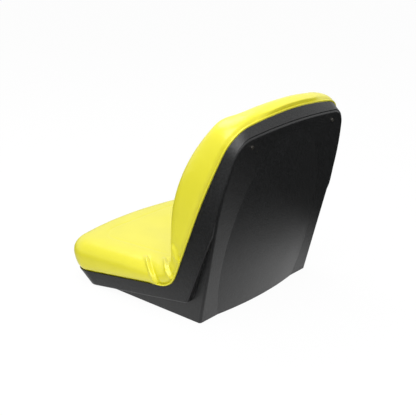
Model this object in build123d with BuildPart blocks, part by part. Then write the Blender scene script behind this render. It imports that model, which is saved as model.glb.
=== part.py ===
from build123d import *
from math import cos, radians, sin
import os

# Bucket seat of a garden machine: a foam cushion in a plastic shell with a crowned rear cover.
# Millimetres. X is the width, the seat faces -Y and Z is up.
# The origin is the middle of the mounting bolts, on the base.

# Mounting
bolt_spacing_x = 285.75
bolt_spacing_y = 203.2
bolt_radius = 3.97
insert_across = 13.0
insert_length = 12.0
boss_radius = 15.0

# Shell: a pan and a back that meet at the heel, the lower rear corner in the side view
heel_y = 166.0
heel_z = 53.5
heel_radius = 12.0
pan_pitch = 8.9
pan_rim_pitch = 8.3
pan_wall = 32.0
back_lean = 21.8
back_wall = 53.0
fold_radius = 62.0
shell_half_width = 237.0
shell_wall = 4.0
pan_front = 440.0
pan_bow = 40.0
pan_corner = 70.0
lip_set_back = 62.0
lip_bow = 22.0
lip_corner = 46.0
lip_radius = 3.5
shoulder_height = 190.0
rear_shoulder = 200.0
rim_height = 460.0
rim_corner_half = 206.0
rim_corner_drop = 26.0
rim_corner = 76.0
rib_thickness = 3.0
rib_clearance = 4.0
back_foot = 120.0
wall_above = 60.0

# Rear cover
cover_rear = 189.4
cover_lean = 13.0
cover_wall = 3.5
cover_foot_half = 215.5
cover_hip_half = 229.5
cover_hip_height = 272.0
cover_skirt = 140.0
cover_height = 485.0
cover_corner_half = 201.0
cover_corner_drop = 12.0
cover_corner = 56.0
cover_edge = 6.0
cover_reveal = 2.0
cover_clearance = 0.6
bulge_height = 15.5
bulge_half_width = 175.0
bulge_half_length = 305.0
bulge_centre = 156.0
bulge_margin = 40.0

# Screws
screw_x = 158.0
screw_drop = 31.0
screw_radius = 2.1
screw_head_radius = 4.5
screw_head_height = 2.4
screw_length = 12.0
screw_slot_width = 1.2
screw_boss = 14.0
screw_boss_height = 8.0
tab_width = 26.0
tab_length = 32.0
tab_forward = 190.0
skirt_screw_length = 6.5

# Cushion
cushion_half_width = 242.0
cushion_overhang = 21.0
cushion_top_rear = 128.5
cushion_top_pitch = 3.0
cushion_corner = 78.0
roll_radius = 36.0
tuck = 7.0
shadow_gap = 1.5
fit_gap = 0.5
bolster_low = 70.0
bolster_low_depth = 43.0
bolster_crest = 245.0
bolster_depth = 88.0
bolster_top_depth = 43.0
top_overhang = 15.0
crown_drop = 43.0
crown_corner = 64.0
bight_y = 130.0
bight_radius = 40.0
trough_radius = 240.0
trough_lean = 16.0
dish_depth = 14.0
dish_half_width = 165.0
dish_fade = 2.2
pleat_width = 2.4
pleat_depth = 6.0
pleat_lines = [
    [(209.0, -2.0, 120.0), (241.0, 50.0, 99.5), (239.0, 69.0, 70.0)],
    [(193.0, 48.0, 123.0), (241.0, 110.0, 124.0), (239.0, 126.0, 98.0)],
    [(234.0, 126.0, 190.0), (243.0, 137.0, 166.0), (236.0, 147.0, 143.0)],
]

far = 900.0
sitting = Vector(0, -0.6, 0.8)


# Work planes: each has its own x across the seat
def leaning(y, z, lean):
    """A plane through the line y, z that leans back from the vertical, its normal to the front."""
    return Plane((0, y, z), x_dir=(1, 0, 0), z_dir=(0, -cos(radians(lean)), sin(radians(lean))))


def pitched(y, z, pitch):
    """A plane through the line y, z that rises to the rear, its normal up."""
    return Plane((0, y, z), x_dir=(1, 0, 0), z_dir=(0, -sin(radians(pitch)), cos(radians(pitch))))


def side_point(plane, along, up):
    """The side view's y and z of a point on the middle line of a plane."""
    spot = plane.from_local_coords(Vector(0, along, up))
    return (spot.Y, spot.Z)


def crossing(first, second):
    """The side view's y and z of the line where two planes cross."""
    y1, z1 = side_point(first, 0, 0)
    y2, z2 = side_point(second, 0, 0)
    a, b = first.y_dir.Y, first.y_dir.Z
    c, d = second.y_dir.Y, second.y_dir.Z
    reach = ((y2 - y1) * d - (z2 - z1) * c) / (a * d - b * c)
    return (y1 + reach * a, z1 + reach * b)


lip_plane = pitched(heel_y, heel_z, pan_pitch)
pan_rim = pitched(*side_point(lip_plane, 0, pan_wall), pan_rim_pitch)
rear_plane = leaning(heel_y, heel_z, back_lean)
back_rim = rear_plane.offset(back_wall)
panel_plane = leaning(cover_rear, 0, cover_lean)
panel_seat = panel_plane.offset(cover_wall)


# Outlines
def plan_outline(plane, half, front, bow, corner):
    """Outline of the seat: straight sides, a bowed front and rounded front corners."""
    with BuildSketch(plane) as outline:
        with BuildLine():
            Polyline((half, bow - front), (half, wall_above), (-half, wall_above), (-half, bow - front))
            ThreePointArc((-half, bow - front), (0, -front), (half, bow - front))
        make_face()
        fillet(outline.vertices().group_by(Axis.Y)[0], corner)
    return outline.sketch


def back_outline(plane, foot, bottom, shoulder, shoulder_at, corner_half, crown, drop, corner):
    """Outline of the back: sides that draw in above the shoulder, and an arched top with round corners."""
    corner_at = crown - drop
    flare = shoulder - foot
    rise = shoulder_at - bottom
    with BuildSketch(plane) as outline:
        with BuildLine():
            Polyline((-shoulder, shoulder_at), (-foot, bottom), (foot, bottom), (shoulder, shoulder_at))
            TangentArc((shoulder, shoulder_at), (corner_half, corner_at), tangent=(flare, rise))
            ThreePointArc((corner_half, corner_at), (0, crown), (-corner_half, corner_at))
            TangentArc((-shoulder, shoulder_at), (-corner_half, corner_at), tangent=(-flare, rise))
        make_face()
        fillet(outline.vertices().group_by(Axis.Y)[-1], corner)
    return outline.sketch


def side_region(clear):
    """Side view of all that lies above the pan's underside and before the back's rear, less a margin."""
    low = lip_plane.offset(clear)
    back = rear_plane.offset(clear)
    panel = panel_seat.offset(max(clear, 0))
    with BuildSketch(Plane.YZ) as region:
        with BuildLine():
            Polyline(
                side_point(low, -far, 0),
                crossing(low, back),
                crossing(back, panel),
                side_point(panel, far, 0),
                (-far, far),
                side_point(low, -far, 0),
            )
        make_face()
        heel = region.vertices().sort_by_distance(Vector(*crossing(low, back)))[0]
        fillet(heel, heel_radius)
    return region.sketch


def rim_region(clear):
    """Side view of all that lies below the pan's rim and behind the back's rim, with the round fold."""
    pan = pan_rim.offset(clear)
    back = back_rim.offset(clear)
    with BuildSketch(Plane.YZ) as region:
        with BuildLine():
            Polyline(
                side_point(pan, -far, 0),
                crossing(pan, back),
                side_point(back, far, 0),
                (far, far),
                (far, -far),
                (-far, -far),
                side_point(pan, -far, 0),
            )
        make_face()
        fold = region.vertices().sort_by_distance(Vector(*crossing(pan, back)))[0]
        fillet(fold, fold_radius)
    return region.sketch


def tub(inset, floor, above):
    """The body of pan and back, drawn in by an inset, lifted off its floor and open above its rim."""
    half = shell_half_width - inset
    seat_rim = plan_outline(pan_rim, half, pan_front - inset, pan_bow, pan_corner - inset)
    seat_lip = plan_outline(
        lip_plane, half, pan_front - lip_set_back - inset, lip_bow, lip_corner - inset
    )
    back_front = back_outline(
        back_rim,
        half,
        -back_foot,
        half,
        shoulder_height,
        rim_corner_half - inset,
        rim_height - inset,
        rim_corner_drop,
        rim_corner - inset,
    )
    back_rear = back_outline(
        panel_seat,
        half,
        -back_foot,
        half,
        rear_shoulder,
        cover_corner_half + cover_reveal - inset,
        cover_height + cover_reveal - inset,
        cover_corner_drop,
        cover_corner - inset,
    )
    with BuildPart() as body:
        loft(sections=[seat_lip, seat_rim], ruled=True)
        extrude(seat_rim, amount=above)
        loft(sections=[back_rear, back_front], ruled=True)
        extrude(back_front, amount=above)
        extrude(side_region(floor), amount=far, both=True, mode=Mode.INTERSECT)
        split(bisect_by=Plane.XY.offset(floor), keep=Keep.TOP)
    return body.part


def lens(plane, half_width, half_length, height):
    """A shallow crowned cap of elliptical outline on a plane, with one radius across and one along."""
    across = (half_width**2 + height**2) / (2 * height)
    along = (half_length**2 + height**2) / (2 * height)
    section = Plane(plane.origin, x_dir=plane.x_dir, z_dir=-plane.y_dir)
    axle = plane.from_local_coords(Vector(0, 0, height - along))
    with BuildPart() as cap:
        with BuildSketch(section) as segment:
            with Locations((0, height - across)):
                Circle(across)
            Rectangle(half_width * 2.4, height * 6, mode=Mode.INTERSECT)
        revolve(segment.sketch, axis=Axis(axle, plane.x_dir))
        split(bisect_by=plane, keep=Keep.TOP)
    return cap.part


# Places of the screws and the bolts
screw_up = cover_height - screw_drop
screw_spots = [(-screw_x, screw_up), (screw_x, screw_up)]
tab_x = cover_foot_half - cover_wall - tab_width / 2
tab_spots = [(-tab_x, -tab_forward), (tab_x, -tab_forward)]

# Seat shell: the tub with its rim trimmed in the side view, then hollowed from the cushion's side
with BuildPart() as seat_shell:
    add(tub(0, 0, wall_above))
    extrude(rim_region(0), amount=far, both=True, mode=Mode.INTERSECT)
    regular = seat_shell.faces().filter_by(GeomType.BSPLINE, reverse=True)
    outside = regular.filter_by(lambda face: face.normal_at().dot(sitting) < -0.5)
    low = outside.edges().filter_by_position(Axis.Z, lip_radius, rear_shoulder)
    fillet(low - low.filter_by(Axis.X), lip_radius)
    with BuildSketch(Plane.XY):
        with GridLocations(bolt_spacing_x, bolt_spacing_y, 2, 2):
            Circle(boss_radius)
    extrude(amount=heel_z)
    with BuildSketch(Plane.XY.offset(rib_clearance)):
        with GridLocations(bolt_spacing_x, bolt_spacing_y, 1, 2):
            Rectangle(bolt_spacing_x, rib_thickness)
        with GridLocations(bolt_spacing_x, bolt_spacing_y, 2, 1):
            Rectangle(rib_thickness, bolt_spacing_y)
    extrude(amount=heel_z)
    add(tub(shell_wall, shell_wall, wall_above), mode=Mode.SUBTRACT)
    with BuildSketch(panel_seat):
        with Locations(*screw_spots):
            Rectangle(screw_boss, screw_boss)
    extrude(amount=shell_wall + screw_boss_height)
    with BuildSketch(panel_seat):
        with Locations(*screw_spots):
            Circle(screw_radius)
    extrude(amount=far / 20, mode=Mode.SUBTRACT)
    with BuildSketch(lip_plane):
        with Locations(*tab_spots):
            Circle(screw_radius)
    extrude(amount=shell_wall, mode=Mode.SUBTRACT)
    with BuildSketch(Plane.XY):
        with GridLocations(bolt_spacing_x, bolt_spacing_y, 2, 2):
            RegularPolygon(insert_across / 2, 6, major_radius=False)
    extrude(amount=insert_length, mode=Mode.SUBTRACT)
seat_shell.part.label = "seat_shell"


# Rear cover: the outline seen from behind carried forward under the shell, hollow, with a crowned panel
cover_flare = (cover_hip_half - cover_foot_half) / cover_hip_height


def cover_outline(plane, inset):
    return back_outline(
        plane,
        cover_foot_half - cover_flare * cover_skirt - inset,
        -cover_skirt,
        cover_hip_half - inset,
        cover_hip_height,
        cover_corner_half - inset,
        cover_height - inset,
        cover_corner_drop,
        cover_corner - inset,
    )


bulge_spot = panel_plane.from_local_coords(Vector(0, bulge_centre, 0))
bulge_plane = Plane(bulge_spot, x_dir=(1, 0, 0), z_dir=-panel_plane.z_dir)
bulge_radius = (bulge_half_width**2 + bulge_height**2) / (2 * bulge_height)
bulge_low = -bulge_margin
bulge_high = bulge_centre + bulge_half_length - bulge_margin


def bulge_rise(along):
    """The middle of the panel's hollow at a height along the panel: it follows the crown outside."""
    rise = bulge_height * (1 - ((along - bulge_centre) / bulge_half_length) ** 2)
    return panel_seat.from_local_coords(Vector(0, along, -rise))


def pocket(start, end):
    """The hollow inside the crown between two heights along the panel, with one radius across."""
    run = bulge_rise(end) - bulge_rise(start)
    with BuildPart() as hollow:
        with BuildSketch(Plane(bulge_rise(start), x_dir=(1, 0, 0), z_dir=run)):
            with Locations((0, -bulge_radius)):
                Circle(bulge_radius)
        extrude(amount=run.length)
        split(bisect_by=panel_seat, keep=Keep.BOTTOM)
    return hollow.part


with BuildPart() as rear_cover:
    extrude(cover_outline(panel_plane, 0), amount=far)
    fillet(rear_cover.faces().filter_by(panel_plane).sort_by(Axis.Y)[-1].edges(), cover_edge)
    extrude(side_region(-cover_clearance), amount=far, both=True, mode=Mode.SUBTRACT)
    add(lens(bulge_plane, bulge_half_width, bulge_half_length, bulge_height))
    extrude(cover_outline(panel_seat, cover_wall), amount=far, mode=Mode.SUBTRACT)
    add(pocket(bulge_low, bulge_centre), mode=Mode.SUBTRACT)
    add(pocket(bulge_centre + rib_thickness, bulge_high), mode=Mode.SUBTRACT)
    with BuildSketch(lip_plane):
        with Locations(*tab_spots):
            Rectangle(tab_width, tab_length)
    extrude(amount=-cover_wall)
    with BuildSketch(lip_plane):
        with Locations(*tab_spots):
            Circle(screw_radius + cover_clearance / 2)
    extrude(amount=-cover_wall, mode=Mode.SUBTRACT)
    with BuildSketch(panel_plane):
        with Locations(*screw_spots):
            Circle(screw_radius + cover_clearance / 2)
    extrude(amount=cover_wall, mode=Mode.SUBTRACT)
    split(bisect_by=Plane.XY, keep=Keep.TOP)
rear_cover.part.label = "rear_cover"


# Cushion: one side profile carried across the seat, trimmed to its outlines and rolled over at the edges
seat_top = pitched(heel_y, cushion_top_rear, cushion_top_pitch)
cushion_front = pan_front + cushion_overhang
cushion_crown = rim_height + top_overhang


def lies_across(face):
    return abs(face.axis_of_rotation.direction.X) > 0.9


def faces_up(face):
    return face.normal_at().dot(sitting) > 0.4


def rolled_faces(body):
    """The faces that the sitter meets: the seat's top, the bight and the front of the bolsters."""
    rounds = body.faces().filter_by(GeomType.CYLINDER).filter_by(lies_across)
    return body.faces().filter_by(seat_top) + rounds.filter_by(faces_up)


def faces_down(face):
    return abs(face.center().X) < 1 and face.normal_at().dot(sitting) < -0.5


with BuildLine(Plane.YZ):
    bolster_arc = ThreePointArc(
        side_point(back_rim, bolster_low, bolster_low_depth),
        side_point(back_rim, bolster_crest, bolster_depth),
        side_point(back_rim, cushion_crown, bolster_top_depth),
    )
bolster_centre = bolster_arc.arc_center

with BuildSketch(Plane.YZ) as cushion_side:
    with BuildLine():
        Polyline(
            side_point(seat_top, -far, 0),
            side_point(seat_top, 0, 0),
            (heel_y, -far),
            (-far, -far),
            side_point(seat_top, -far, 0),
        )
    make_face()
    with Locations((bolster_centre.Y, bolster_centre.Z)):
        Circle(bolster_arc.radius)
    fillet(cushion_side.vertices().sort_by_distance(Vector(bight_y, cushion_top_rear))[0], bight_radius)

with BuildPart() as cushion_frame:
    toe = plan_outline(pan_rim, cushion_half_width, pan_front, pan_bow, cushion_corner)
    widest = seat_top.offset(-roll_radius - tuck)
    plan = plan_outline(widest, cushion_half_width, cushion_front, pan_bow, cushion_corner)
    loft(sections=[toe, plan], ruled=True)
    extrude(plan, amount=roll_radius + tuck + fold_radius)
    tombstone = back_outline(
        back_rim,
        cushion_half_width,
        -back_foot,
        cushion_half_width,
        shoulder_height,
        rim_corner_half + cushion_half_width - shell_half_width,
        cushion_crown,
        crown_drop,
        crown_corner,
    )
    extrude(tombstone, amount=far / 4)
    extrude(tombstone, amount=-back_wall)

# Hollows: a trough down the back between the bolsters, and a dish in the seat that fades to the front
trough_floor = leaning(bight_y, cushion_top_rear, trough_lean)
with BuildPart() as back_trough:
    trough_end = Plane(trough_floor.origin, x_dir=(1, 0, 0), z_dir=trough_floor.y_dir)
    with BuildSketch(trough_end.offset(-bight_y)):
        with Locations((0, -trough_radius)):
            Circle(trough_radius)
    extrude(amount=far)
    split(bisect_by=seat_top, keep=Keep.TOP)

dish_radius = (dish_half_width**2 + dish_depth**2) / (2 * dish_depth)
dish_floor = pitched(bight_y, cushion_top_rear - dish_depth, cushion_top_pitch - dish_fade)
with BuildPart() as seat_dish:
    with BuildSketch(Plane(dish_floor.origin, x_dir=(1, 0, 0), z_dir=-dish_floor.y_dir)):
        with Locations((0, dish_radius)):
            Circle(dish_radius)
    extrude(amount=far / 2)
    split(bisect_by=seat_top, keep=Keep.BOTTOM)


# Pleats: where the cover is drawn round the fold it is tucked along bent lines, from the seat to the hem
def pleat(start, knee, end):
    """A thin fold pressed in along a bent line, from nothing at its start to its full depth at the knee."""
    sheet = Plane(knee, x_dir=start - knee, z_dir=(start - knee).cross(end - knee))
    first = sheet.to_local_coords(start)
    last = sheet.to_local_coords(end)
    inward = (first.normalized() + last.normalized()).normalized()
    deep = inward * pleat_depth
    clear = inward * -roll_radius
    with BuildPart() as fold:
        with BuildSketch(sheet):
            with BuildLine():
                Polyline(first, deep, last + deep, last + clear, clear, first + clear, first)
            make_face()
        extrude(amount=pleat_width / 2, both=True)
    return fold.part


with BuildPart() as pleats:
    for line in pleat_lines:
        add(pleat(*[Vector(spot) for spot in line]))
    mirror(about=Plane.YZ)

with BuildPart() as cushion:
    extrude(cushion_side.sketch, amount=far, both=True)
    add(cushion_frame.part, mode=Mode.INTERSECT)
    extrude(rim_region(shadow_gap), amount=far, both=True, mode=Mode.SUBTRACT)
    top = rolled_faces(cushion)
    chamfer(top.edges() - top.edges().filter_by(Axis.X), roll_radius * 0.58)
    top = rolled_faces(cushion)
    inner = top.edges() - top.edges().filter_by(Axis.X)
    strips = (cushion.faces() - top).filter_by(lambda face: any(edge in inner for edge in face.edges()))
    walls = (cushion.faces() - top - strips).edges()
    outer = strips.edges().filter_by(lambda edge: edge in walls)
    chamfer(inner + outer, roll_radius * 0.2)
    under = cushion.faces().filter_by(faces_down)
    chamfer(under.edges() - under.edges().filter_by(Axis.X), tuck)
    add(tub(shell_wall + fit_gap, shell_wall, 2 * tuck))
    add(back_trough.part, mode=Mode.SUBTRACT)
    add(seat_dish.part, mode=Mode.SUBTRACT)
    add(pleats.part, mode=Mode.SUBTRACT)
    with BuildSketch(panel_seat):
        with Locations(*screw_spots):
            Rectangle(screw_boss + 2 * fit_gap, screw_boss + 2 * fit_gap)
    extrude(amount=shell_wall + screw_boss_height + fit_gap, mode=Mode.SUBTRACT)
cushion.part.label = "cushion"

# Screws in the top corners of the rear panel
with BuildPart() as cover_screws:
    with BuildSketch(panel_plane):
        with Locations(*screw_spots):
            Circle(screw_head_radius)
    extrude(amount=-screw_head_height)
    with BuildSketch(panel_plane):
        with Locations(*screw_spots):
            Circle(screw_radius)
    extrude(amount=screw_length)
    with BuildSketch(panel_plane.offset(-screw_head_height)):
        with Locations(*screw_spots):
            Rectangle(screw_head_radius, screw_slot_width)
            Rectangle(screw_slot_width, screw_head_radius)
    extrude(amount=screw_head_height * 0.5, mode=Mode.SUBTRACT)
cover_screws.part.label = "cover_screws"

# Screws that hold the skirts of the cover up to the pan
tab_under = lip_plane.offset(-cover_wall)
with BuildPart() as skirt_screws:
    with BuildSketch(tab_under):
        with Locations(*tab_spots):
            Circle(screw_head_radius)
    extrude(amount=-screw_head_height)
    with BuildSketch(tab_under):
        with Locations(*tab_spots):
            Circle(screw_radius)
    extrude(amount=skirt_screw_length)
    with BuildSketch(tab_under.offset(-screw_head_height)):
        with Locations(*tab_spots):
            Rectangle(screw_head_radius, screw_slot_width)
            Rectangle(screw_slot_width, screw_head_radius)
    extrude(amount=screw_head_height * 0.5, mode=Mode.SUBTRACT)
skirt_screws.part.label = "skirt_screws"

# Hexagonal threaded inserts for the mounting bolts, flush with the base
with BuildPart() as mounting_inserts:
    with BuildSketch(Plane.XY):
        with GridLocations(bolt_spacing_x, bolt_spacing_y, 2, 2):
            RegularPolygon(insert_across / 2, 6, major_radius=False)
            Circle(bolt_radius, mode=Mode.SUBTRACT)
    extrude(amount=insert_length)
mounting_inserts.part.label = "mounting_inserts"

os.makedirs("parts", exist_ok=True)
export_step(cushion.part, "parts/cushion.step")
export_step(seat_shell.part, "parts/seat_shell.step")
export_step(rear_cover.part, "parts/rear_cover.step")
export_step(cover_screws.part, "parts/cover_screws.step")
export_step(skirt_screws.part, "parts/skirt_screws.step")
export_step(mounting_inserts.part, "parts/mounting_inserts.step")
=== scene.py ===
# %% [markdown]
# # A bucket seat for a garden machine
# The seat is a yellow vinyl cushion that sits in a black moulded shell, with a crowned cover behind it.
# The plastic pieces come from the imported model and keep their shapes.
# This lesson gives them a moulded finish, and remakes the cushion as a soft piece with pleats and a hem.

import math

import bmesh
import bpy
import numpy as np
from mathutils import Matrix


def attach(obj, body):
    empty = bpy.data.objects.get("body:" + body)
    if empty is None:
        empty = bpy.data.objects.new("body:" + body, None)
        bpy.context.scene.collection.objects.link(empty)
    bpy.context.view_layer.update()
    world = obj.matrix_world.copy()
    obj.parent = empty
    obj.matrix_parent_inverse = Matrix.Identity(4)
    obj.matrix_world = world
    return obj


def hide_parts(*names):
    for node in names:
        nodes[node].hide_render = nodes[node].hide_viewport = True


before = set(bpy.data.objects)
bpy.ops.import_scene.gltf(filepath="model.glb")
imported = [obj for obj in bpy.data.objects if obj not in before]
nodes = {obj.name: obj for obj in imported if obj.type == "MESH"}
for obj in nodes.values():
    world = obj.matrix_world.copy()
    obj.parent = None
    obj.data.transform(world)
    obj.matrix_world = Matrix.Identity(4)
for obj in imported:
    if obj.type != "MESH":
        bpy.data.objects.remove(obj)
scene = bpy.context.scene
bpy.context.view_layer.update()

# %% [markdown]
# ## Camera
# A product photo is taken with a long lens, so that the near corner isn't drawn too large.
# The view is set by an azimuth, an elevation and the distance, worked out from the seat's straight edges.

# %% Set the camera
MM = 0.001
IMAGE_SIDE = 416
FOCAL_PIXELS = 900.0
SENSOR_MM = 36.0
CAMERA_SPOT = (1.6542, 1.4485, 1.0011)
CAMERA_AZIMUTH = math.radians(130.63)
CAMERA_ELEVATION = math.radians(20.31)

lens = bpy.data.cameras.new("camera")
lens.sensor_width = SENSOR_MM
lens.lens = SENSOR_MM * FOCAL_PIXELS / IMAGE_SIDE
camera = bpy.data.objects.new("camera", lens)
camera.location = CAMERA_SPOT
camera.rotation_euler = (math.pi / 2 - CAMERA_ELEVATION, 0, CAMERA_AZIMUTH)
scene.collection.objects.link(camera)
scene.camera = camera
print("lens", round(lens.lens, 2), "mm")

# %% [markdown]
# ## Materials: how the nodes are joined
# Every finish here is a Principled shader, with noise that reads Object coordinates.
# Object coordinates are in metres, so a scale of 1000 gives a grain of about a millimetre.

# %% Helpers for materials
def finish_of(name, **sockets):
    """A material whose Principled shader has these socket values, and its node tree."""
    material = bpy.data.materials.new(name)
    material.use_nodes = True
    tree = material.node_tree
    shader = tree.nodes["Principled BSDF"]
    for socket, value in sockets.items():
        shader.inputs[socket.replace("_", " ")].default_value = value
    return material, tree, shader


def add_node(tree, kind, links=(), **values):
    """A new node with its properties or inputs set, joined to the outputs that links names."""
    node = tree.nodes.new(kind)
    for key, value in values.items():
        if hasattr(node, key):
            setattr(node, key, value)
        else:
            node.inputs[key.replace("_", " ")].default_value = value
    for socket, source in links:
        tree.links.new(source, node.inputs[socket])
    return node


def colour_ramp(tree, factor, stops):
    """A ramp from a factor to the colours at the given places."""
    ramp = add_node(tree, "ShaderNodeValToRGB", [("Fac", factor)])
    while len(ramp.color_ramp.elements) < len(stops):
        ramp.color_ramp.elements.new(0.5)
    for element, (place, colour) in zip(ramp.color_ramp.elements, stops):
        element.position = place
        element.color = (*colour, 1.0)
    return ramp


def linear(red, green, blue):
    """Linear light from a colour as it is seen on a screen, from 0 to 255."""
    seen = np.array([red, green, blue]) / 255.0
    light = np.where(seen <= 0.04045, seen / 12.92, ((seen + 0.055) / 1.055) ** 2.4)
    return tuple(float(v) for v in light)


print("helpers ready")

# %% [markdown]
# ## Yellow vinyl
# The cushion's skin is vinyl, with a fine pebbled grain pressed into it and a soft shine.
# A Voronoi pattern gives the pebbles, a large slow noise changes the tint a little, and both are only skin deep.

# %% Vinyl
VINYL = linear(213, 206, 30)
VINYL_PALE = linear(215, 208, 33)
VINYL_DEEP = linear(211, 204, 28)

vinyl, tree, shader = finish_of("vinyl", Roughness=0.34, Specular_IOR_Level=0.7)
place = add_node(tree, "ShaderNodeTexCoord").outputs["Object"]
tint = add_node(tree, "ShaderNodeTexNoise", [("Vector", place)], Scale=14.0, Detail=3.0)
shade = colour_ramp(tree, tint.outputs["Fac"], [(0.3, VINYL_DEEP), (0.5, VINYL), (0.7, VINYL_PALE)])
tree.links.new(shade.outputs["Color"], shader.inputs["Base Color"])
pebble = add_node(tree, "ShaderNodeTexVoronoi", [("Vector", place)], Scale=520.0)
rise = pebble.outputs["Distance"]
grain = add_node(tree, "ShaderNodeBump", [("Height", rise)], Strength=0.10, Distance=0.0006)
tree.links.new(grain.outputs["Normal"], shader.inputs["Normal"])
print("vinyl", [round(v, 3) for v in VINYL])

# %% [markdown]
# ## Black plastic
# The shell and the cover are moulded in a black plastic with a fine spark-eroded texture.
# Two noises make it: one breaks up the gloss in clouds, as handling does, and one is the texture itself,
# which both stands up and shows as a fine speckle.

# %% Plastic
PLASTIC = linear(10, 11, 11)
PLASTIC_SPARK = linear(27, 28, 29)

plastic, tree, shader = finish_of("plastic", Specular_IOR_Level=0.46)
place = add_node(tree, "ShaderNodeTexCoord").outputs["Object"]
cloud = add_node(tree, "ShaderNodeTexNoise", [("Vector", place)], Scale=9.0, Detail=5.0)
gloss = add_node(tree, "ShaderNodeMapRange", [("Value", cloud.outputs["Fac"])], To_Min=0.34, To_Max=0.46)
tree.links.new(gloss.outputs["Result"], shader.inputs["Roughness"])
spark = add_node(tree, "ShaderNodeTexNoise", [("Vector", place)], Scale=250.0, Detail=3.0, Roughness=0.6)
shade = colour_ramp(tree, spark.outputs["Fac"], [(0.38, PLASTIC), (0.62, PLASTIC_SPARK)])
tree.links.new(shade.outputs["Color"], shader.inputs["Base Color"])
rise = spark.outputs["Fac"]
texture = add_node(tree, "ShaderNodeBump", [("Height", rise)], Strength=0.8, Distance=0.0009)
tree.links.new(texture.outputs["Normal"], shader.inputs["Normal"])
print("plastic", [round(v, 4) for v in PLASTIC])

# %% [markdown]
# ## Screws and inserts
# The screws are plated steel and the inserts are bright steel with a turned face.

# %% Metals
def metal(name, colour, roughness, scratch):
    """A metal finish with fine brushed scratches in its gloss."""
    material, tree, shader = finish_of(name, Metallic=1.0, Base_Color=(*colour, 1.0))
    place = add_node(tree, "ShaderNodeTexCoord").outputs["Object"]
    marks = add_node(tree, "ShaderNodeTexNoise", [("Vector", place)], Scale=scratch, Detail=4.0)
    gloss = add_node(
        tree, "ShaderNodeMapRange", [("Value", marks.outputs["Fac"])],
        To_Min=roughness - 0.1, To_Max=roughness + 0.15,
    )
    tree.links.new(gloss.outputs["Result"], shader.inputs["Roughness"])
    return material


screw_steel = metal("screw_steel", linear(132, 129, 123), 0.4, 700.0)
insert_steel = metal("insert_steel", linear(190, 190, 188), 0.35, 500.0)
print("metals", screw_steel.name, insert_steel.name)

# %% [markdown]
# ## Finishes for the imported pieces
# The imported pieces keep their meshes, so a finish is all that they are given.

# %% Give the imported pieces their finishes
FINISHES = {
    "seat_shell": plastic,
    "rear_cover": plastic,
    "cover_screws": screw_steel,
    "skirt_screws": screw_steel,
    "mounting_inserts": insert_steel,
}
for name, material in FINISHES.items():
    nodes[name].data.materials.clear()
    nodes[name].data.materials.append(material)
    print(name, "is", material.name)

# %% [markdown]
# ## The cushion's body
# On the real seat, foam fills a vinyl skin that is drawn tight and tucked in along the shell's rim.
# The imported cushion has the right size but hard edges, so a copy of it is remeshed into even squares.
# A modifier does that in one step, and even squares then bend the same way everywhere.

# %% Copy and remesh the cushion
VOXEL = 0.006
MERGE_WITHIN = 0.00001


def evaluated(obj):
    """The object's mesh with its modifiers applied."""
    bpy.context.view_layer.update()
    ready = obj.evaluated_get(bpy.context.evaluated_depsgraph_get())
    return bpy.data.meshes.new_from_object(ready)


def apply_modifiers(obj):
    """Makes the modified shape the object's own mesh."""
    mesh = evaluated(obj)
    obj.modifiers.clear()
    obj.data = mesh


def points_of(mesh):
    """All corners of a mesh as rows of x, y, z."""
    flat = np.empty(len(mesh.vertices) * 3)
    mesh.vertices.foreach_get("co", flat)
    return flat.reshape(-1, 3)


def set_points(mesh, points):
    """Puts the rows of x, y, z back into the mesh."""
    mesh.vertices.foreach_set("co", points.ravel())
    mesh.update()


def normals_of(mesh):
    """The normals of all corners of a mesh."""
    flat = np.empty(len(mesh.vertices) * 3)
    mesh.vertex_normals.foreach_get("vector", flat)
    return flat.reshape(-1, 3)


skin = nodes["cushion"].data.copy()
work = bmesh.new()
work.from_mesh(skin)
bmesh.ops.remove_doubles(work, verts=work.verts, dist=MERGE_WITHIN)
work.to_mesh(skin)
work.free()
cushion = bpy.data.objects.new("cushion_skin", skin)
scene.collection.objects.link(cushion)
grid = cushion.modifiers.new("even_squares", "REMESH")
grid.mode = "VOXEL"
grid.voxel_size = VOXEL
apply_modifiers(cushion)
print("cushion", len(cushion.data.vertices), "points")

# %% [markdown]
# ### Where the cushion meets the shell
# The rim of the shell lies in two planes, one round the seat and one round the back, that meet in a round fold.
# The height above that rim says which part of the cushion shows and which is tucked in the shell.

# %% Height above the rim
HEEL = np.array([166.0, 53.5])
PAN_PITCH = math.radians(8.9)
RIM_PITCH = math.radians(8.3)
BACK_LEAN = math.radians(21.8)
PAN_WALL = 32.0
BACK_WALL = 53.0
FOLD_RADIUS = 62.0

pan_along = np.array([math.cos(RIM_PITCH), math.sin(RIM_PITCH)])
pan_up = np.array([-math.sin(RIM_PITCH), math.cos(RIM_PITCH)])
back_along = np.array([math.sin(BACK_LEAN), math.cos(BACK_LEAN)])
back_out = np.array([-math.cos(BACK_LEAN), math.sin(BACK_LEAN)])
pan_spot = HEEL + PAN_WALL * np.array([-math.sin(PAN_PITCH), math.cos(PAN_PITCH)])
back_spot = HEEL + BACK_WALL * back_out
fold_centre = np.linalg.solve(
    np.array([pan_up, back_out]),
    np.array([pan_up @ pan_spot + FOLD_RADIUS, back_out @ back_spot + FOLD_RADIUS]),
)
fold_turn = math.pi / 2 - BACK_LEAN - RIM_PITCH
fold_length = FOLD_RADIUS * fold_turn


def rim_frame(run):
    """The unit vectors along the rim and away from it, in the side view, at a run along the side's profile.
    They turn by the run over the fold's radius while the run is in the fold."""
    turn = RIM_PITCH + np.clip(run, 0.0, fold_length) / FOLD_RADIUS
    along = np.column_stack([np.cos(turn), np.sin(turn)])
    away = np.column_stack([-np.sin(turn), np.cos(turn)])
    return along, away


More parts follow.
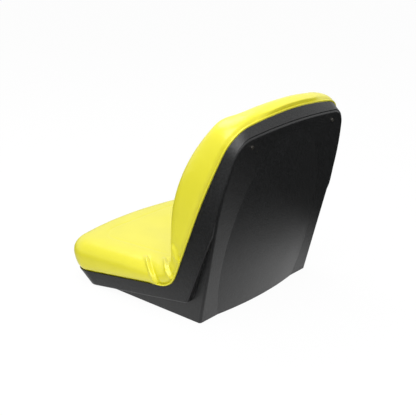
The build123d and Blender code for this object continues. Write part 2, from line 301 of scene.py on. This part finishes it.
def rim_place(across, run, up):
    """Points in metres from a place across the seat, a run along the side's profile and a height above the rim:
    the fold's centre, less its radius along the way up, plus what of the run lies outside the fold."""
    along, away = rim_frame(run)
    past = run - np.clip(run, 0.0, fold_length)
    side = fold_centre + along * past[:, None] + away * (up - FOLD_RADIUS)[:, None]
    return np.column_stack([across, side]) * MM


def rim_unroll(points):
    """The reverse: across, run and height of points in metres."""
    side = points[:, 1:] / MM - fold_centre
    on_pan = side @ pan_along < 0
    on_back = ~on_pan & (side @ back_along > 0)
    turn = np.clip(np.arctan2(side[:, 1], side[:, 0]) + math.pi / 2 - RIM_PITCH, 0.0, fold_turn)
    past_pan = np.where(on_back, fold_length + side @ back_along, FOLD_RADIUS * turn)
    run = np.where(on_pan, side @ pan_along, past_pan)
    past_pan = np.where(on_back, side @ back_out, -np.linalg.norm(side, axis=1))
    up = np.where(on_pan, side @ pan_up, past_pan)
    return points[:, 0] / MM, run, up + FOLD_RADIUS


rest = points_of(cushion.data)
height = rim_unroll(rest)[2]
print("shows", int((height > 0).sum()), "of", len(height), "points")

# %% [markdown]
# ### Foam under the skin
# Foam presses the vinyl out from inside, and a short cloth run with pressure does the same to the mesh.
# What lies in the shell, and the edge that is tucked in, is held still.
# Left alone the cloth would balloon, so each point's move is cut back to a few millimetres.

# %% Blow the cushion up
PRESSURE = 4.0
CLOTH_FRAMES = 20
CLOTH_QUALITY = 4
SWELL_LIMIT = 0.003
HELD_BELOW = 5.0


def inflate(obj, held, pressure, frames, limit):
    """Cloth with pressure inside, run for some frames; no point is moved further than the limit.
    Returns how far the cloth alone went."""
    start = points_of(obj.data)
    group = obj.vertex_groups.new(name="held")
    group.add(np.flatnonzero(held).tolist(), 1.0, "REPLACE")
    cloth = obj.modifiers.new("foam", "CLOTH")
    cloth.settings.quality = CLOTH_QUALITY
    cloth.settings.use_pressure = True
    cloth.settings.uniform_pressure_force = pressure
    cloth.settings.vertex_group_mass = "held"
    cloth.settings.effector_weights.gravity = 0.0
    cloth.point_cache.frame_start = 1
    cloth.point_cache.frame_end = frames
    for number in range(1, frames + 1):
        scene.frame_set(number)
    moved = points_of(evaluated(obj)) - start
    obj.modifiers.clear()
    obj.vertex_groups.clear()
    scene.frame_set(1)
    far = np.linalg.norm(moved, axis=1, keepdims=True)
    moved *= np.minimum(1.0, limit / np.maximum(far, 1e-9))
    set_points(obj.data, start + moved)
    return far.max()


swell = inflate(cushion, height < HELD_BELOW, PRESSURE, CLOTH_FRAMES, SWELL_LIMIT)
print("cloth moved by up to", round(float(swell) / MM, 1), "mm, cut back to", SWELL_LIMIT / MM, "mm")

# %% [markdown]
# ### Smooth the skin
# Remeshing leaves small steps, so each point is drawn towards the middle of its neighbours a few times.
# Only the part that shows is smoothed. That also wears down the rolled edges, so what they lost is put back
# along the normals, itself smoothed, which keeps the cushion's size.

# %% Neighbours and smoothing
def neighbour_pairs(mesh):
    """The two end points of every edge, as two arrays."""
    ends = np.empty(len(mesh.edges) * 2, dtype=np.int64)
    mesh.edges.foreach_get("vertices", ends)
    return ends[0::2], ends[1::2]


def smoothed(points, pairs, share, rounds):
    """Each point moves by its share of the way to the mean of its neighbours, round after round."""
    first, second = pairs
    count = np.bincount(first, minlength=len(points)) + np.bincount(second, minlength=len(points))
    for _ in range(rounds):
        total = np.empty_like(points)
        for axis in range(3):
            total[:, axis] = np.bincount(first, points[second, axis], len(points))
            total[:, axis] += np.bincount(second, points[first, axis], len(points))
        points = points + share[:, None] * (total / count[:, None] - points)
    return points


print("neighbours", len(cushion.data.edges), "pairs")

# %% Smooth, and put the edges back
SMOOTHING = 0.6
ROUNDS = 8
SMOOTH_FROM = 2.0
SMOOTH_FADE = 6.0
EDGE_FADE = 10.0

pairs = neighbour_pairs(cushion.data)
share = np.clip((height - SMOOTH_FROM) / SMOOTH_FADE, 0.0, 1.0) * SMOOTHING
set_points(cushion.data, smoothed(points_of(cushion.data), pairs, share, ROUNDS))
points = points_of(cushion.data)
normals = normals_of(cushion.data)
lost = np.maximum(0.0, ((rest - points) * normals).sum(1, keepdims=True))
lost = smoothed(np.repeat(lost, 3, axis=1), pairs, np.full(len(points), SMOOTHING), ROUNDS)
shows = np.clip(height / EDGE_FADE, 0.0, 1.0)[:, None]
set_points(cushion.data, points + normals * lost * shows)
print("edges put back by up to", round(float(lost.max()) / MM, 1), "mm")

# %% [markdown]
# ### Fuller shoulders
# The foam stands up at the two top corners of the back.
# A bell round one spot on each shoulder lifts the skin there, and it fades out by itself.

# %% Fill the shoulders
SHOULDER_SPOT = (168.0, 217.0, 489.0)
SHOULDER_FILL = (0.0, -1.5, 5.5)
SHOULDER_REACH = (26.0, 13.0, 24.0)

points = points_of(cushion.data) / MM
one_side = np.column_stack([np.abs(points[:, 0]), points[:, 1:]])
near = np.exp(-(((one_side - SHOULDER_SPOT) / SHOULDER_REACH) ** 2).sum(1) / 2)
points += near[:, None] * np.array(SHOULDER_FILL)
set_points(cushion.data, points * MM)
print("shoulders lifted by up to", round(float(near.max() * SHOULDER_FILL[2]), 1), "mm")

# %% [markdown]
# ### A finer mesh
# The folds to come are a few millimetres wide, so every square is cut into four and rounded.

# %% Finer squares all over
finer = cushion.modifiers.new("finer", "SUBSURF")
finer.levels = 1
finer.render_levels = 1
apply_modifiers(cushion)
print("cushion", len(cushion.data.polygons), "squares")

# %% [markdown]
# ### The hem's line
# The vinyl ends in a hem that follows the rim of the shell all the way round.
# Laid flat, the rim is one outline of arcs and straight runs: a bowed front, round corners, sides that draw in
# above the shoulder, and an arched top. It is worked out flat and then bent over the fold.

# %% Parts of the rim's outline
SHELL_HALF = 237.0
PAN_FRONT = 440.0
PAN_BOW = 40.0
PAN_CORNER = 70.0
SHOULDER = 190.0
CROWN = 460.0
CROWN_HALF = 206.0
CROWN_DROP = 26.0
CROWN_CORNER = 76.0

pan_shift = (fold_centre - pan_spot) @ pan_along
back_shift = (fold_centre - back_spot) @ back_along - fold_length


def arc(centre, radius, start, end):
    """Points about a millimetre apart on a circle, from one angle to another."""
    angle = np.linspace(start, end, max(4, int(abs(end - start) * radius)))
    return np.column_stack([centre[0] + radius * np.cos(angle), centre[1] + radius * np.sin(angle)])


def angle_of(vector):
    """The angle of a flat vector from the x axis."""
    return math.atan2(vector[1], vector[0])


def front_half(half, front, corner):
    """Half of the bowed front: an arc through the middle and both ends, and a corner that touches arc and side.
    The corner's centre is a corner's radius inside both."""
    bow_radius = (half**2 + PAN_BOW**2) / (2 * PAN_BOW)
    bow_centre = np.array([0.0, bow_radius - front])
    reach = math.sqrt((bow_radius - corner) ** 2 - (half - corner) ** 2)
    turn_centre = np.array([half - corner, bow_centre[1] - reach])
    meet = angle_of(turn_centre - bow_centre)
    bow = arc(bow_centre, bow_radius, -math.pi / 2, meet)
    turn = arc(turn_centre, corner, meet, 0.0)
    return np.vstack([bow, turn[1:]]) - (0.0, pan_shift)


def crown_half(half, crown_half_width, crown, corner):
    """Half of the back's top: a side arc that starts upright, a crown arc, and a corner that touches both.
    The corner's centre lies where two circles, each drawn in by the corner's radius, cross."""
    lean_in = half - crown_half_width
    rise = crown - CROWN_DROP - SHOULDER
    side_radius = (lean_in**2 + rise**2) / (2 * lean_in)
    side_centre = np.array([half - side_radius, SHOULDER])
    crown_radius = (crown_half_width**2 + CROWN_DROP**2) / (2 * CROWN_DROP)
    crown_centre = np.array([0.0, crown - crown_radius])
    first, second = side_radius - corner, crown_radius - corner
    gap = crown_centre - side_centre
    apart = np.linalg.norm(gap)
    share = (first**2 - second**2 + apart**2) / (2 * apart)
    off = math.sqrt(first**2 - share**2)
    ahead = gap / apart
    turn_centre = side_centre + share * ahead + off * np.array([-ahead[1], ahead[0]])
    if turn_centre[0] < 0:
        turn_centre = side_centre + share * ahead - off * np.array([-ahead[1], ahead[0]])
    leave = angle_of(turn_centre - side_centre)
    join = angle_of(turn_centre - crown_centre)
    side = arc(side_centre, side_radius, 0.0, leave)
    turn = arc(turn_centre, corner, leave, join)
    top = arc(crown_centre, crown_radius, join, math.pi / 2)
    return np.vstack([side, turn[1:], top[1:]]) - (0.0, back_shift)


print("outline starts", round(float(-pan_shift), 1), "and", round(float(-back_shift), 1), "mm along the run")

# %% Outline of the rim, laid flat
def rim_outline(out, step):
    """The closed outline, a distance outside the shell's rim, in even steps of its own length."""
    half = SHELL_HALF + out
    front = front_half(half, PAN_FRONT + out, PAN_CORNER + out)
    top = crown_half(half, CROWN_HALF + out, CROWN + out, CROWN_CORNER + out)
    right = np.vstack([front, top])
    loop = np.vstack([right, right[-2:0:-1] * (-1, 1)])
    closed = np.vstack([loop, loop[:1]])
    length = np.concatenate([[0.0], np.cumsum(np.linalg.norm(np.diff(closed, axis=0), axis=1))])
    even = np.linspace(0.0, length[-1], int(length[-1] / step), endpoint=False)
    return np.column_stack([np.interp(even, length, closed[:, axis]) for axis in range(2)])


HEM_STEP = 2.5

flat_rim = rim_outline(0.0, HEM_STEP)
print("rim", len(flat_rim), "points, from", flat_rim.min(0).round(1), "to", flat_rim.max(0).round(1))

# %% [markdown]
# ### Draw the skin in above the hem
# Over the crown the foam stands out past the shell, and the vinyl runs back under it to the hem.
# Low on the skin, no point may stand out from the rim further than an amount that grows with its height.
# Round the seat that amount starts inside the rim, so the edge is tucked under and leaves a dark gap.
# Round the back a shallow groove lies above the hem.

# %% How far points stand outside an outline
def smooth_step(value):
    """From 0 to 1 with level ends: three squares less two cubes."""
    value = np.clip(value, 0.0, 1.0)
    return value * value * (3 - 2 * value)


def outward_of(outline):
    """The unit vectors out of a closed outline: the way along it, turned to the right."""
    ahead = np.roll(outline, -1, axis=0) - np.roll(outline, 1, axis=0)
    right = np.column_stack([ahead[:, 1], -ahead[:, 0]])
    return right / np.linalg.norm(right, axis=1, keepdims=True)


def stand_out(across, run, outline):
    """Signed distance of flat points outside a closed outline, and the direction away from it.
    The nearest point of the outline is found in blocks."""
    flat = np.column_stack([across, run])
    right = outward_of(outline)
    nearest = np.concatenate([
        np.argmin(((block[:, None, :] - outline[None]) ** 2).sum(2), axis=1)
        for block in np.array_split(flat, max(1, len(flat) // 2000))
    ])
    return ((flat - outline[nearest]) * right[nearest]).sum(1), right[nearest]


print("at its front the rim faces", outward_of(flat_rim)[0].round(2))

# %% Undercut
UNDERCUT_LOW = 2.5
UNDERCUT_HIGH = 9.0
UNDERCUT_OUT = 15.0
UNDERCUT_FROM = -3.0
UNDERCUT_PAST = 8.0
HEM_OUT = 1.0
GROOVE_DEPTH = 1.4
GROOVE_UP = 7.0
GROOVE_WIDTH = 3.0
GROOVE_FADE = 4.0
TUCK_IN = -6.0
TUCK_LOW = 3.2
TUCK_HIGH = 6.0
TUCK_END = -5.0
TUCK_FADE = 45.0

points = points_of(cushion.data)
across, run, up = rim_unroll(points)
low = np.flatnonzero((up > UNDERCUT_FROM) & (up < UNDERCUT_HIGH + UNDERCUT_PAST))
out, away = stand_out(across[low], run[low], flat_rim)
grow = np.clip((up[low] - UNDERCUT_LOW) / (UNDERCUT_HIGH - UNDERCUT_LOW), 0.0, 2.0)
on_back = HEM_OUT + UNDERCUT_OUT * grow
grow = np.clip((up[low] - TUCK_LOW) / (TUCK_HIGH - TUCK_LOW), 0.0, 4.0)
on_seat = TUCK_IN + (HEM_OUT + UNDERCUT_OUT - TUCK_IN) * grow
seat_share = smooth_step((TUCK_END - run[low]) / TUCK_FADE)
extra = np.maximum(0.0, out - on_back - (on_seat - on_back) * seat_share)
groove = GROOVE_DEPTH * np.exp(-(((up[low] - GROOVE_UP) / GROOVE_WIDTH) ** 2)) * (1 - seat_share)
inward = extra + groove * smooth_step((out + GROOVE_FADE) / GROOVE_FADE)
across[low] -= away[:, 0] * inward
run[low] -= away[:, 1] * inward
points[low] = rim_place(across[low], run[low], up[low])
set_points(cushion.data, points)
print("drawn in", int((extra > 0.1).sum()), "points, at most", round(float(extra.max()), 1), "mm")

# %% [markdown]
# ### Roll the crown back
# At the top of the back the foam bulges over the shell's rim, and the vinyl turns sharply down to the hem.
# How far a point stands out from the rim sets a face, and points in front of that face are moved back to it.
# The move fades towards the corners and towards the front, so that no square is drawn out long.

# %% Roll the crown back over the rim
ROLL_BACK = 3.5
ROLL_LEAN = 0.08
ROLL_HIGH = 11.0
ROLL_ROUND = 9.0
ROLL_HALF = 140.0
ROLL_SIDE_FADE = 80.0
ROLL_FULL = 11.0
ROLL_DEEP = 30.0
ROLL_BELOW_TOP = 60.0
ROLL_ABOVE_RIM = 3.0
ROLL_OUT_FADE = 3.0

points = points_of(cushion.data)
across, run, up = rim_unroll(points)
near_top = (run > flat_rim[:, 1].max() - ROLL_BELOW_TOP) & (np.abs(across) < ROLL_HALF)
top = np.flatnonzero(near_top & (up > ROLL_ABOVE_RIM) & (up < ROLL_DEEP))
out = stand_out(across[top], run[top], flat_rim)[0]
face = ROLL_BACK + ROLL_LEAN * out + np.maximum(out - ROLL_HIGH, 0.0) ** 2 / ROLL_ROUND
share = smooth_step(out / ROLL_OUT_FADE)
share *= smooth_step((ROLL_HALF - np.abs(across[top])) / ROLL_SIDE_FADE)
share *= 1 - smooth_step((up[top] - ROLL_FULL) / (ROLL_DEEP - ROLL_FULL))
back = np.maximum(0.0, up[top] - face) * share
points[top] = rim_place(across[top], run[top], up[top] - back)
set_points(cushion.data, points)
print("crown rolled back by up to", round(float(back.max()), 1), "mm")

# %% [markdown]
# ### Pleats at the fold
# Vinyl can't be bent round the inner corner of a seat without spare cloth, so the maker tucks it in pleats.
# Each pleat is a ridge with a step down behind it, along a line from the seat to the hem.
# The mesh is made finer there first, and then each point moves along its normal by the pleat's profile.

# %% Finer squares at the fold
FOLD_BOX = np.array([[170.0, -35.0, 55.0], [260.0, 175.0, 215.0]])
FOLD_MARGIN = 4.0


def refine(obj, low, high):
    """Cuts the squares whose middle lies in the box, on either side of the seat, into four."""
    mesh = obj.data
    middles = np.empty(len(mesh.polygons) * 3)
    mesh.polygons.foreach_get("center", middles)
    middles = middles.reshape(-1, 3) / MM
    middles[:, 0] = np.abs(middles[:, 0])
    chosen = np.flatnonzero(((middles > low) & (middles < high)).all(1))
    work = bmesh.new()
    work.from_mesh(mesh)
    work.faces.ensure_lookup_table()
    edges = {edge for index in chosen for edge in work.faces[index].edges}
    bmesh.ops.subdivide_edges(work, edges=list(edges), cuts=1, use_grid_fill=True)
    work.to_mesh(mesh)
    work.free()
    return len(chosen)


print("refined", refine(cushion, *FOLD_BOX), "squares")

# %% Lines of the pleats
FRONT_PLEAT = [(203, -4, 121), (219, 20, 119), (234, 42, 109), (242, 59, 95), (242, 69, 80), (240, 74, 70)]
REAR_PLEAT = [
    (186, 44, 122), (205, 68, 124), (226, 90, 127), (239, 103, 123), (242, 113, 114), (241, 128, 101),
]
BOLSTER_CREASE = [(240, 126, 200), (242, 132, 181), (242, 137, 166), (242, 143, 157), (240, 149, 147)]
VALLEY = [(228, 106, 158), (238, 119, 147), (242, 127, 140), (241, 132, 131), (237, 136, 122)]
PLEATS = [
    (FRONT_PLEAT, {"ridge": 5.5, "width": 4.4, "step": 5.5, "tail": 10.0, "fork": 1.5}),
    (REAR_PLEAT, {"ridge": 5.2, "width": 4.6, "step": 5.5, "tail": 13.0, "fork": 0.0}),
    (BOLSTER_CREASE, {"ridge": 5.0, "width": 5.0, "step": 3.0, "tail": 10.0, "fork": 0.0}),
]
LINE_STEPS = 80


def beside_line(points, normals, line):
    """For points near a line over a surface: the distance behind it, the distance off its sheet and the share of
    its length. The way behind is the surface's normal crossed with the line's direction."""
    line = np.array(line, dtype=float)
    length = np.concatenate([[0.0], np.cumsum(np.linalg.norm(np.diff(line, axis=0), axis=1))])
    even = np.linspace(0.0, length[-1], LINE_STEPS)
    path = np.column_stack([np.interp(even, length, line[:, axis]) for axis in range(3)])
    path[1:-1] = (path[:-2] + 2 * path[1:-1] + path[2:]) / 4
    ahead = np.gradient(path, axis=0)
    ahead /= np.linalg.norm(ahead, axis=1, keepdims=True)
    nearest = np.argmin(((points[:, None, :] - path[None]) ** 2).sum(2), axis=1)
    offset = points - path[nearest]
    sideways = np.cross(normals, ahead[nearest])
    sideways /= np.maximum(np.linalg.norm(sideways, axis=1, keepdims=True), 1e-6)
    behind = (offset * sideways).sum(1)
    off = np.sqrt(np.maximum((offset**2).sum(1) - behind**2, 0.0))
    return behind, off, nearest / (LINE_STEPS - 1.0)


print("pleats", len(PLEATS), "on each side, and a valley")

# %% Press the pleats
VALLEY_DEPTH = 5.0
VALLEY_WIDTH = 10.0
SHEET_REACH = 12.0
PLEAT_RISE = 0.3
FORK_END = 0.5
DROP_START = 0.4
DROP_LENGTH = 1.3
TAIL_START = 1.5
HEM_CLEAR = 1.0
HEM_FADE = 5.0


def pleat(points, normals, line, ridge, width, step, tail, fork):
    """A ridge of two strands that start apart by the fork and run into one, each a bell across the line,
    and a step down behind the ridge that fades over its tail."""
    behind, off, share = beside_line(points, normals, line)
    apart = fork * (1 - smooth_step(share / FORK_END))
    rear_strand = np.exp(-(((behind - apart) / width) ** 2))
    front_strand = np.exp(-(((behind + apart) / width) ** 2))
    strands = np.maximum(rear_strand, front_strand)
    drop = smooth_step((behind - apart - DROP_START * width) / (DROP_LENGTH * width))
    after = step * drop * np.exp(-np.maximum(behind - apart - TAIL_START * width, 0.0) / tail)
    fade = smooth_step(share / PLEAT_RISE) * np.exp(-((off / SHEET_REACH) ** 2))
    return (ridge * strands - after) * fade


def press_pleats(obj):
    """Moves the points at the fold by the sum of all pleats, on both sides of the seat."""
    points = points_of(obj.data) / MM
    normals = normals_of(obj.data)
    folded = points.copy()
    folded[:, 0] = np.abs(points[:, 0])
    turned = normals.copy()
    turned[:, 0] *= np.where(points[:, 0] < 0, -1.0, 1.0)
    near = np.flatnonzero(((folded > FOLD_BOX[0] + FOLD_MARGIN) & (folded < FOLD_BOX[1])).all(1))
    spots, facing = folded[near], turned[near]
    move = sum(pleat(spots, facing, line, **sizes) for line, sizes in PLEATS)
    behind, off, share = beside_line(spots, facing, VALLEY)
    hollow = VALLEY_DEPTH * np.exp(-((behind / VALLEY_WIDTH) ** 2)) * np.exp(-((off / SHEET_REACH) ** 2))
    move -= hollow * np.sin(math.pi * share)
    up = rim_unroll(points[near] * MM)[2]
    move *= smooth_step((up - HEM_CLEAR) / HEM_FADE)
    points[near] += normals[near] * move[:, None]
    set_points(obj.data, points * MM)
    return move.min(), move.max()


print("pleats move from", *[round(float(v), 1) for v in press_pleats(cushion)], "mm")

# %% [markdown]
# ### Ease the pleats
# A pressed ridge follows the mesh's squares and looks cut.
# A few rounds of smoothing at the fold round it off, as stretched vinyl does.

# %% Ease the pleats
EASE = 0.5
EASE_ROUNDS = 3
EASE_ABOVE = 3.0

points = points_of(cushion.data)
folded = np.column_stack([np.abs(points[:, 0]), points[:, 1:]]) / MM
inside = ((folded > FOLD_BOX[0] + FOLD_MARGIN) & (folded < FOLD_BOX[1] - FOLD_MARGIN)).all(1)
inside &= rim_unroll(points)[2] > EASE_ABOVE
set_points(cushion.data, smoothed(points, neighbour_pairs(cushion.data), EASE * inside, EASE_ROUNDS))
print("eased", int(inside.sum()), "points")

# %% [markdown]
# ### The seat's inset
# A shallow sewn line runs round the middle of the seat and fades out towards the back.
# It is a groove along a rounded box, whose distance is the usual one for a box with round corners.

# %% Press the seat's line
INSET_HALF = 168.0
INSET_FRONT = -212.0
INSET_BACK = 140.0
INSET_CORNER = 70.0
INSET_DEPTH = 1.1
INSET_WIDTH = 4.0
INSET_LEVEL = 0.75
INSET_LEVEL_FADE = 0.15
INSET_END = 10.0
INSET_END_FADE = 60.0

points = points_of(cushion.data) / MM
normals = normals_of(cushion.data)
middle = (INSET_FRONT + INSET_BACK) / 2
beyond_side = np.abs(points[:, 0]) - (INSET_HALF - INSET_CORNER)
beyond_end = np.abs(points[:, 1] - middle) - ((INSET_BACK - INSET_FRONT) / 2 - INSET_CORNER)
distance = np.hypot(np.maximum(beyond_side, 0), np.maximum(beyond_end, 0)) - INSET_CORNER
distance += np.minimum(np.maximum(beyond_side, beyond_end), 0)
on_top = smooth_step((normals[:, 2] - INSET_LEVEL) / INSET_LEVEL_FADE)
on_top *= 1 - smooth_step((points[:, 1] - INSET_END) / INSET_END_FADE)
groove = -INSET_DEPTH * np.exp(-((distance / INSET_WIDTH) ** 2)) * on_top
points += normals * groove[:, None]
set_points(cushion.data, points * MM)
print("inset line", round(float(-groove.min()), 2), "mm deep")

# %% [markdown]
# ### Put the skin in the cushion's place
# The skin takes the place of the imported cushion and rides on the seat's one body, as a padded piece.

# %% Place the cushion
cushion.data.polygons.foreach_set("use_smooth", np.ones(len(cushion.data.polygons), dtype=bool))
cushion.data.materials.clear()
cushion.data.materials.append(vinyl)
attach(cushion, "root")
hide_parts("cushion")
print("cushion", len(cushion.data.polygons), "faces, in the place of the packed one")

# %% [markdown]
# ### The hem
# The hem is a round bead of folded vinyl along the edge of the skin.
# A circle is carried along the rim's outline. Round the back it lies just outside the rim.
# Round the seat it lies inside the rim and a little higher, under the skin's edge, where a dark gap shows.

# %% Hem
HEM_RADIUS = 2.0
HEM_SIDES = 12
HEM_SET_OUT = 2.2
HEM_SET_OUT_SEAT = -4.5
HEM_TURN = -5.0
HEM_TURN_LENGTH = 45.0
HEM_UP_SEAT = 3.7
HEM_UP_BACK = 2.5


def grid_mesh(name, rings):
    """A closed tube from rings of points, an array of ring, side and x, y, z; squares join ring to ring."""
    count, sides = rings.shape[:2]
    number = np.arange(count * sides).reshape(count, sides)
    beside = np.roll(number, -1, axis=1)
    squares = np.stack([number, beside, np.roll(beside, -1, axis=0), np.roll(number, -1, axis=0)], axis=2)
    mesh = bpy.data.meshes.new(name)
    mesh.from_pydata(rings.reshape(-1, 3).tolist(), [], squares.reshape(-1, 4).tolist())
    mesh.polygons.foreach_set("use_smooth", np.ones(len(mesh.polygons), dtype=bool))
    return mesh


def bead(outline, height, radius, sides):
    """A circle carried along a flat outline bent over the fold: its two directions are the way off the rim,
    and the way outwards, which is the direction of travel crossed with it."""
    path = rim_place(outline[:, 0], outline[:, 1], height)
    away = np.column_stack([np.zeros(len(outline)), rim_frame(outline[:, 1])[1]])
    ahead = np.roll(path, -1, axis=0) - np.roll(path, 1, axis=0)
    outward = np.cross(ahead, away)
    outward /= np.linalg.norm(outward, axis=1, keepdims=True)
    angle = np.linspace(0.0, 2 * math.pi, sides, endpoint=False)
    circle = outward[:, None] * np.cos(angle)[None, :, None] + away[:, None] * np.sin(angle)[None, :, None]
    return path[:, None] + circle * radius * MM


to_seat = smooth_step((HEM_TURN - flat_rim[:, 1]) / HEM_TURN_LENGTH)
set_out = HEM_SET_OUT + (HEM_SET_OUT_SEAT - HEM_SET_OUT) * to_seat
hem_line = flat_rim + outward_of(flat_rim) * set_out[:, None]
to_back = smooth_step(hem_line[:, 1] / fold_length)
hem_height = HEM_UP_SEAT + (HEM_UP_BACK - HEM_UP_SEAT) * to_back
hem_mesh = grid_mesh("hem", bead(hem_line, hem_height, HEM_RADIUS, HEM_SIDES))
hem = bpy.data.objects.new("hem", hem_mesh)
scene.collection.objects.link(hem)
hem_mesh.materials.append(vinyl)
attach(hem, "root")
print("hem", len(hem_mesh.polygons), "squares")

# %% [markdown]
# ## Floor and light
# A white room gives the soft, even light of a product photo.
# The camera sees the floor as nearly plain white, with a faint shadow of the seat.
# Reflections see a painted glow on the floor, white near the seat and dim further off.
# This painted reflection is what makes the black cover light at its foot and dark at its top.

# %% Floor
FLOOR_HALF = 6.0
FLOOR_DROP = 0.0005
FLOOR_COLOUR = (0.9, 0.9, 0.9, 1.0)
FLOOR_WHITE = 0.95
# Where the painted reflection glow on the floor is full, where it has dimmed, and how dim it gets.
REFLECTION_GLOW_NEAR = 0.3
REFLECTION_GLOW_FAR = 0.56
REFLECTION_GLOW_DIM = 0.04

floor_mesh = bpy.data.meshes.new("floor")
floor_corners = np.array([(-1, -1), (1, -1), (1, 1), (-1, 1)]) * FLOOR_HALF
floor_points = np.column_stack([floor_corners, np.full(4, -FLOOR_DROP)])
floor_mesh.from_pydata(floor_points.tolist(), [], [(0, 1, 2, 3)])
floor = bpy.data.objects.new("floor", floor_mesh)
scene.collection.objects.link(floor)

white_floor, tree, shader = finish_of(
    "white_floor", Base_Color=FLOOR_COLOUR, Roughness=0.9, Specular_IOR_Level=0.0,
)
rays = add_node(tree, "ShaderNodeLightPath").outputs
# Painted reflection: reflection rays see the floor glow, at full strength near the seat and dimming with
# distance, a pool of light that no lamp casts.
spot = add_node(tree, "ShaderNodeTexCoord").outputs["Object"]
reach = add_node(tree, "ShaderNodeVectorMath", [(0, spot)], operation="LENGTH")
fade = add_node(
    tree, "ShaderNodeMapRange", [("Value", reach.outputs["Value"])],
    From_Min=REFLECTION_GLOW_NEAR, From_Max=REFLECTION_GLOW_FAR, To_Min=1.0, To_Max=REFLECTION_GLOW_DIM,
)
painted_reflection_glow = add_node(tree, "ShaderNodeEmission", [("Strength", fade.outputs["Result"])])
glow = add_node(tree, "ShaderNodeEmission", Strength=1.0)
bounced = add_node(tree, "ShaderNodeMath", operation="MAXIMUM")
tree.links.new(rays["Is Glossy Ray"], bounced.inputs[0])
tree.links.new(rays["Is Transmission Ray"], bounced.inputs[1])
direct = add_node(tree, "ShaderNodeMath", operation="MULTIPLY")
tree.links.new(rays["Is Camera Ray"], direct.inputs[0])
direct.inputs[1].default_value = FLOOR_WHITE
lit = add_node(tree, "ShaderNodeMixShader")
tree.links.new(bounced.outputs[0], lit.inputs[0])
tree.links.new(shader.outputs[0], lit.inputs[1])
tree.links.new(painted_reflection_glow.outputs[0], lit.inputs[2])
blend = add_node(tree, "ShaderNodeMixShader")
tree.links.new(direct.outputs[0], blend.inputs[0])
tree.links.new(lit.outputs[0], blend.inputs[1])
tree.links.new(glow.outputs[0], blend.inputs[2])
tree.links.new(blend.outputs[0], tree.nodes["Material Output"].inputs["Surface"])
floor_mesh.materials.append(white_floor)
print("floor", FLOOR_HALF * 2, "m wide")

# %% [markdown]
# ### Room and lamps
# The world lights the seat from all round, and it shows as plain white to the camera and in reflections.
# Two large soft lamps, one behind the seat and one in front, make the tops paler than the sides.

# %% World and lamps
WORLD_STRENGTH = 0.58
SOFTBOXES = {
    "softbox_back": ((1.1, 0.75, 2.15), 2.0, 46.0),
    "softbox_front": ((-0.4, -1.0, 2.3), 1.5, 23.0),
}
LAMP_AIM = np.array([0.0, 0.0, 0.2])

world = bpy.data.worlds.new("white_room")
scene.world = world
world.use_nodes = True
tree = world.node_tree
tree.nodes.clear()
room = add_node(tree, "ShaderNodeBackground", Strength=WORLD_STRENGTH)
backdrop = add_node(tree, "ShaderNodeBackground", Strength=1.0)
for part in (room, backdrop):
    part.inputs["Color"].default_value = (1, 1, 1, 1)
rays = add_node(tree, "ShaderNodeLightPath").outputs
choose = add_node(tree, "ShaderNodeMixShader")
seen = add_node(tree, "ShaderNodeMath", operation="MAXIMUM")
tree.links.new(rays["Is Camera Ray"], seen.inputs[0])
tree.links.new(rays["Is Glossy Ray"], seen.inputs[1])
seen_too = add_node(tree, "ShaderNodeMath", operation="MAXIMUM")
tree.links.new(seen.outputs[0], seen_too.inputs[0])
tree.links.new(rays["Is Transmission Ray"], seen_too.inputs[1])
tree.links.new(seen_too.outputs[0], choose.inputs[0])
tree.links.new(room.outputs[0], choose.inputs[1])
tree.links.new(backdrop.outputs[0], choose.inputs[2])
end = add_node(tree, "ShaderNodeOutputWorld")
tree.links.new(choose.outputs[0], end.inputs["Surface"])

for name, (spot, side, watts) in SOFTBOXES.items():
    softbox = bpy.data.lights.new(name, "AREA")
    softbox.shape = "SQUARE"
    softbox.size = side
    softbox.energy = watts
    lamp = bpy.data.objects.new(name, softbox)
    lamp.location = spot
    aim = LAMP_AIM - np.array(spot)
    lamp.rotation_euler = (math.atan2(np.hypot(aim[0], aim[1]), -aim[2]), 0, math.atan2(-aim[0], aim[1]))
    scene.collection.objects.link(lamp)
    print(name, watts, "W")

# %% [markdown]
# ## Colour
# The Standard view shows colours as they are set.

# %% Colour
scene.view_settings.view_transform = "Standard"
